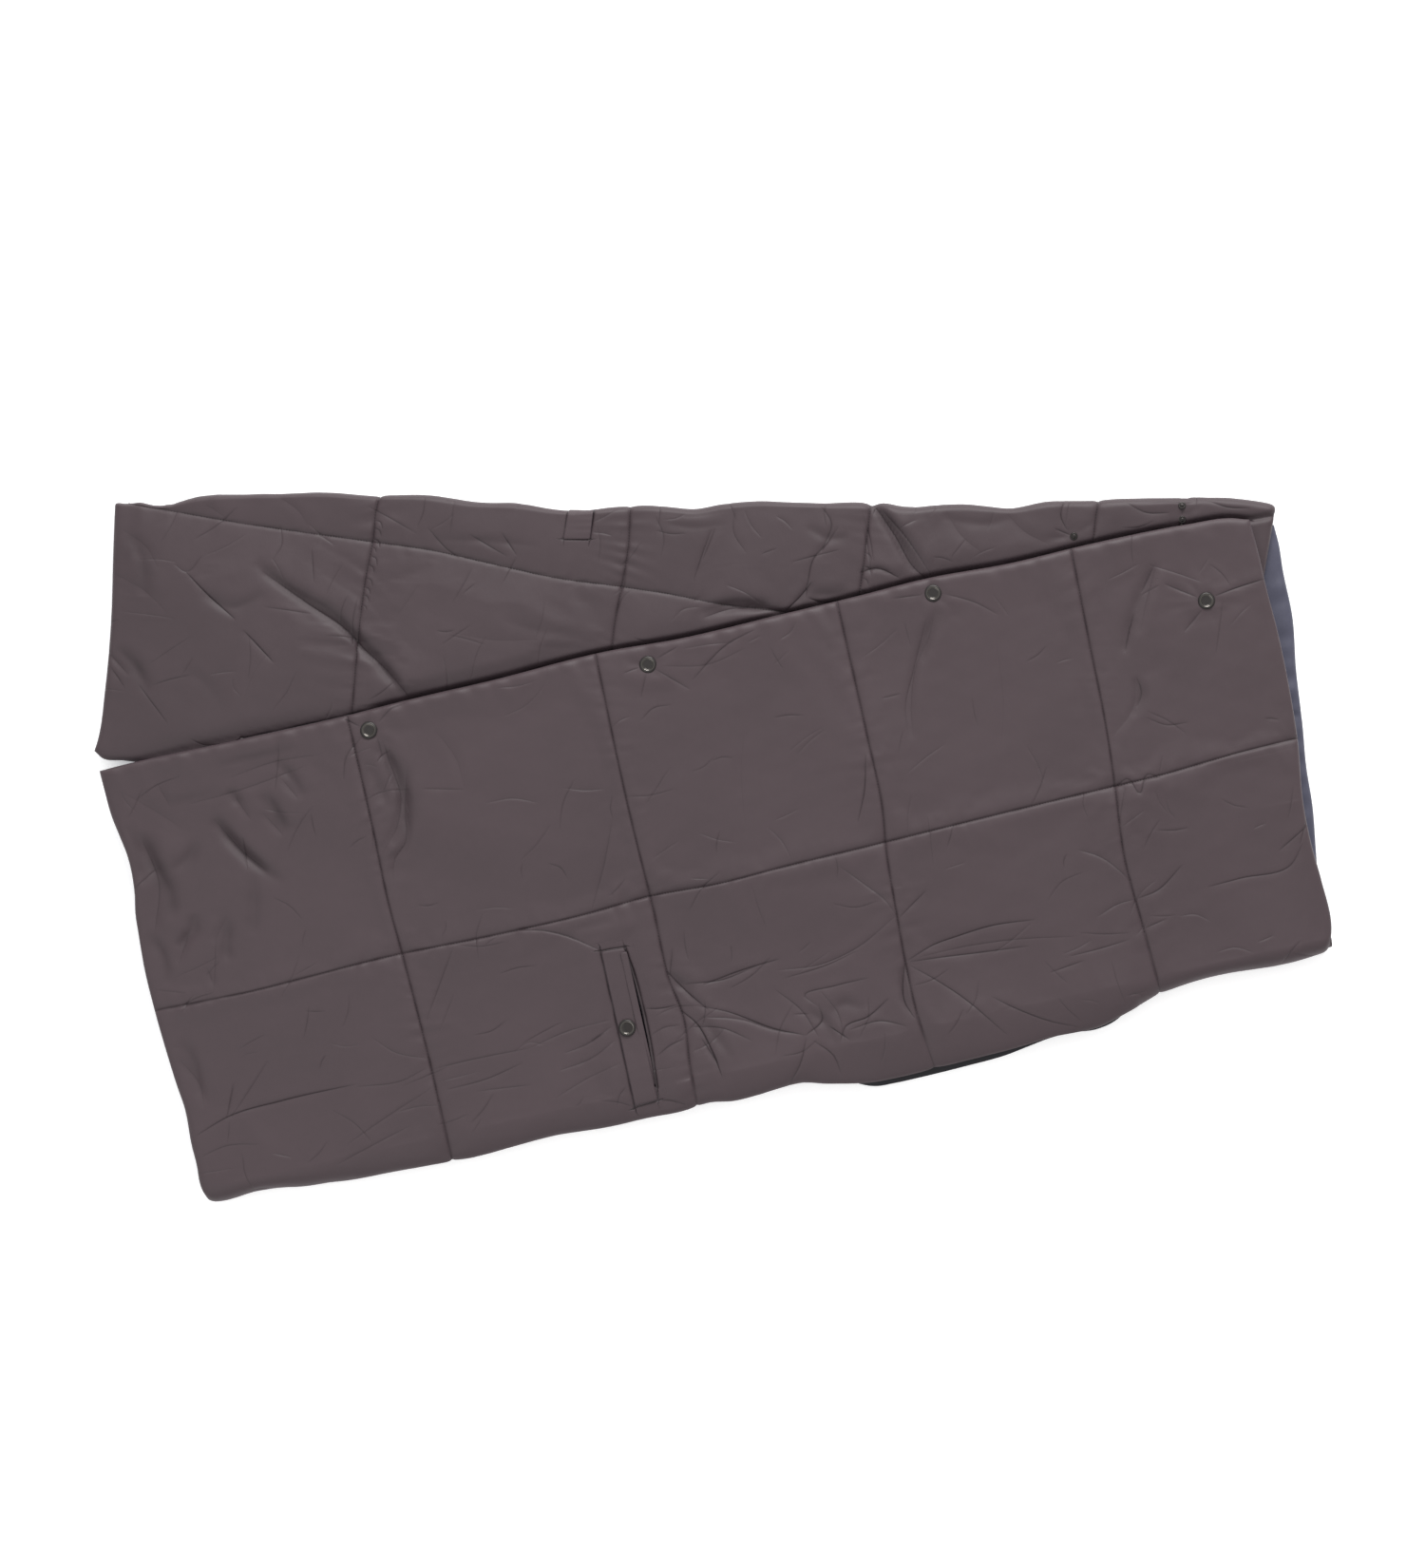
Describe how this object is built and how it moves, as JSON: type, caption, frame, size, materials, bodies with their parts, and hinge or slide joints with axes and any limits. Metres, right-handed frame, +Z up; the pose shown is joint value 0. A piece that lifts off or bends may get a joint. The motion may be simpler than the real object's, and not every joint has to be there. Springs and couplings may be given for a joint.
{
  "type": "infrared sauna blanket",
  "caption": "Quilted heated blanket folded in three, with heating wire between nylon shell and lining, snap fasteners, and welted arm slots in its front flap and rear fold.",
  "frame": {"origin": "centre of the folded blanket's outline, at its underside", "axes": "+X along the front fold towards the foot end, +Y from the front fold towards the rear fold, +Z up through the layers"},
  "size_m": [1.83, 1.079, 0.0491],
  "materials": {
    "shell_fabric": "satin",
    "lining_fabric": "satin",
    "trim_fabric": "satin",
    "batting": "matte",
    "heater_carrier": "matte",
    "heating_wire": "satin",
    "snap_metal": "satin",
    "brass_fittings": "satin",
    "inlet_plastic": "matte",
    "lead_jacket": "matte",
    "sensor_plastic": "satin"
  },
  "bodies": {
    "back_panel": {"back_outer_shell": "shell_fabric", "back_lining": "lining_fabric", "back_batting": "batting", "back_heater_carrier": "heater_carrier", "back_heating_wire": "heating_wire", "rear_arm_slot_welt_lower": "trim_fabric", "power_inlet_patch": "trim_fabric", "power_inlet_pin_1": "brass_fittings", "power_inlet_pin_2": "brass_fittings", "power_inlet_pin_3": "brass_fittings", "power_inlet_rivet_1": "brass_fittings", "power_inlet_rivet_2": "brass_fittings", "power_inlet_rivet_3": "brass_fittings", "power_inlet_rivet_4": "brass_fittings", "lead_splice_1": "brass_fittings", "lead_splice_2": "brass_fittings", "lead_splice_3": "brass_fittings", "power_inlet_housing": "inlet_plastic", "power_inlet_lead": "lead_jacket", "thermal_cutout": "sensor_plastic", "temperature_sensor": "sensor_plastic"},
    "front_flap": {"front_flap_outer_shell": "shell_fabric", "front_flap_batting": "batting", "front_flap_heater_carrier": "heater_carrier", "front_flap_heating_wire": "heating_wire", "front_flap_lining": "lining_fabric", "front_snap_cap_1": "snap_metal", "front_snap_cap_2": "snap_metal", "front_snap_cap_3": "snap_metal", "front_snap_cap_4": "snap_metal", "front_snap_socket_1": "snap_metal", "front_snap_socket_2": "snap_metal", "front_snap_socket_3": "snap_metal", "front_snap_socket_4": "snap_metal", "front_arm_slot_facing": "trim_fabric", "front_arm_slot_tab": "trim_fabric", "front_arm_slot_stud": "snap_metal"},
    "inner_flap": {"inner_flap_outer_shell": "shell_fabric", "inner_flap_batting": "batting", "inner_flap_heater_carrier": "heater_carrier", "inner_flap_heating_wire": "heating_wire", "inner_flap_lining": "lining_fabric", "inner_snap_stud_1": "snap_metal", "inner_snap_stud_2": "snap_metal", "inner_snap_stud_3": "snap_metal", "inner_snap_stud_4": "snap_metal", "inner_snap_stud_5": "snap_metal", "inner_snap_stud_6": "snap_metal", "inner_stud_post_1": "snap_metal", "inner_stud_post_2": "snap_metal", "inner_stud_post_3": "snap_metal", "inner_stud_post_4": "snap_metal", "inner_stud_post_5": "snap_metal", "inner_stud_post_6": "snap_metal", "rear_arm_slot_welt_upper": "trim_fabric"},
    "arm_slot_welt": {"front_arm_slot_welt": "trim_fabric", "front_arm_slot_snap_cap": "snap_metal", "front_arm_slot_snap_socket": "snap_metal"}
  },
  "joints": [
    {"name": "front_flap_fold", "type": "hinge", "parent": "back_panel", "child": "front_flap", "pos_m": [0, -0.5395, 0.0222], "axis": [1, 0, 0], "range_deg": [0, 180]},
    {"name": "inner_flap_fold", "type": "hinge", "parent": "back_panel", "child": "inner_flap", "pos_m": [-0.8, 0.5395, 0.0144], "axis": [-0.9751, 0.2217, 0], "range_deg": [0, 11]},
    {"name": "arm_slot_welt_seam", "type": "hinge", "parent": "front_flap", "child": "arm_slot_welt", "pos_m": [-0.23, -0.5195, 0.0469], "axis": [0, -1, 0], "range_deg": [0, 140]}
  ],
  "couplings": [
    {"joint": "inner_flap_fold", "follows": "front_flap_fold", "ratio": 0.06}
  ]
}
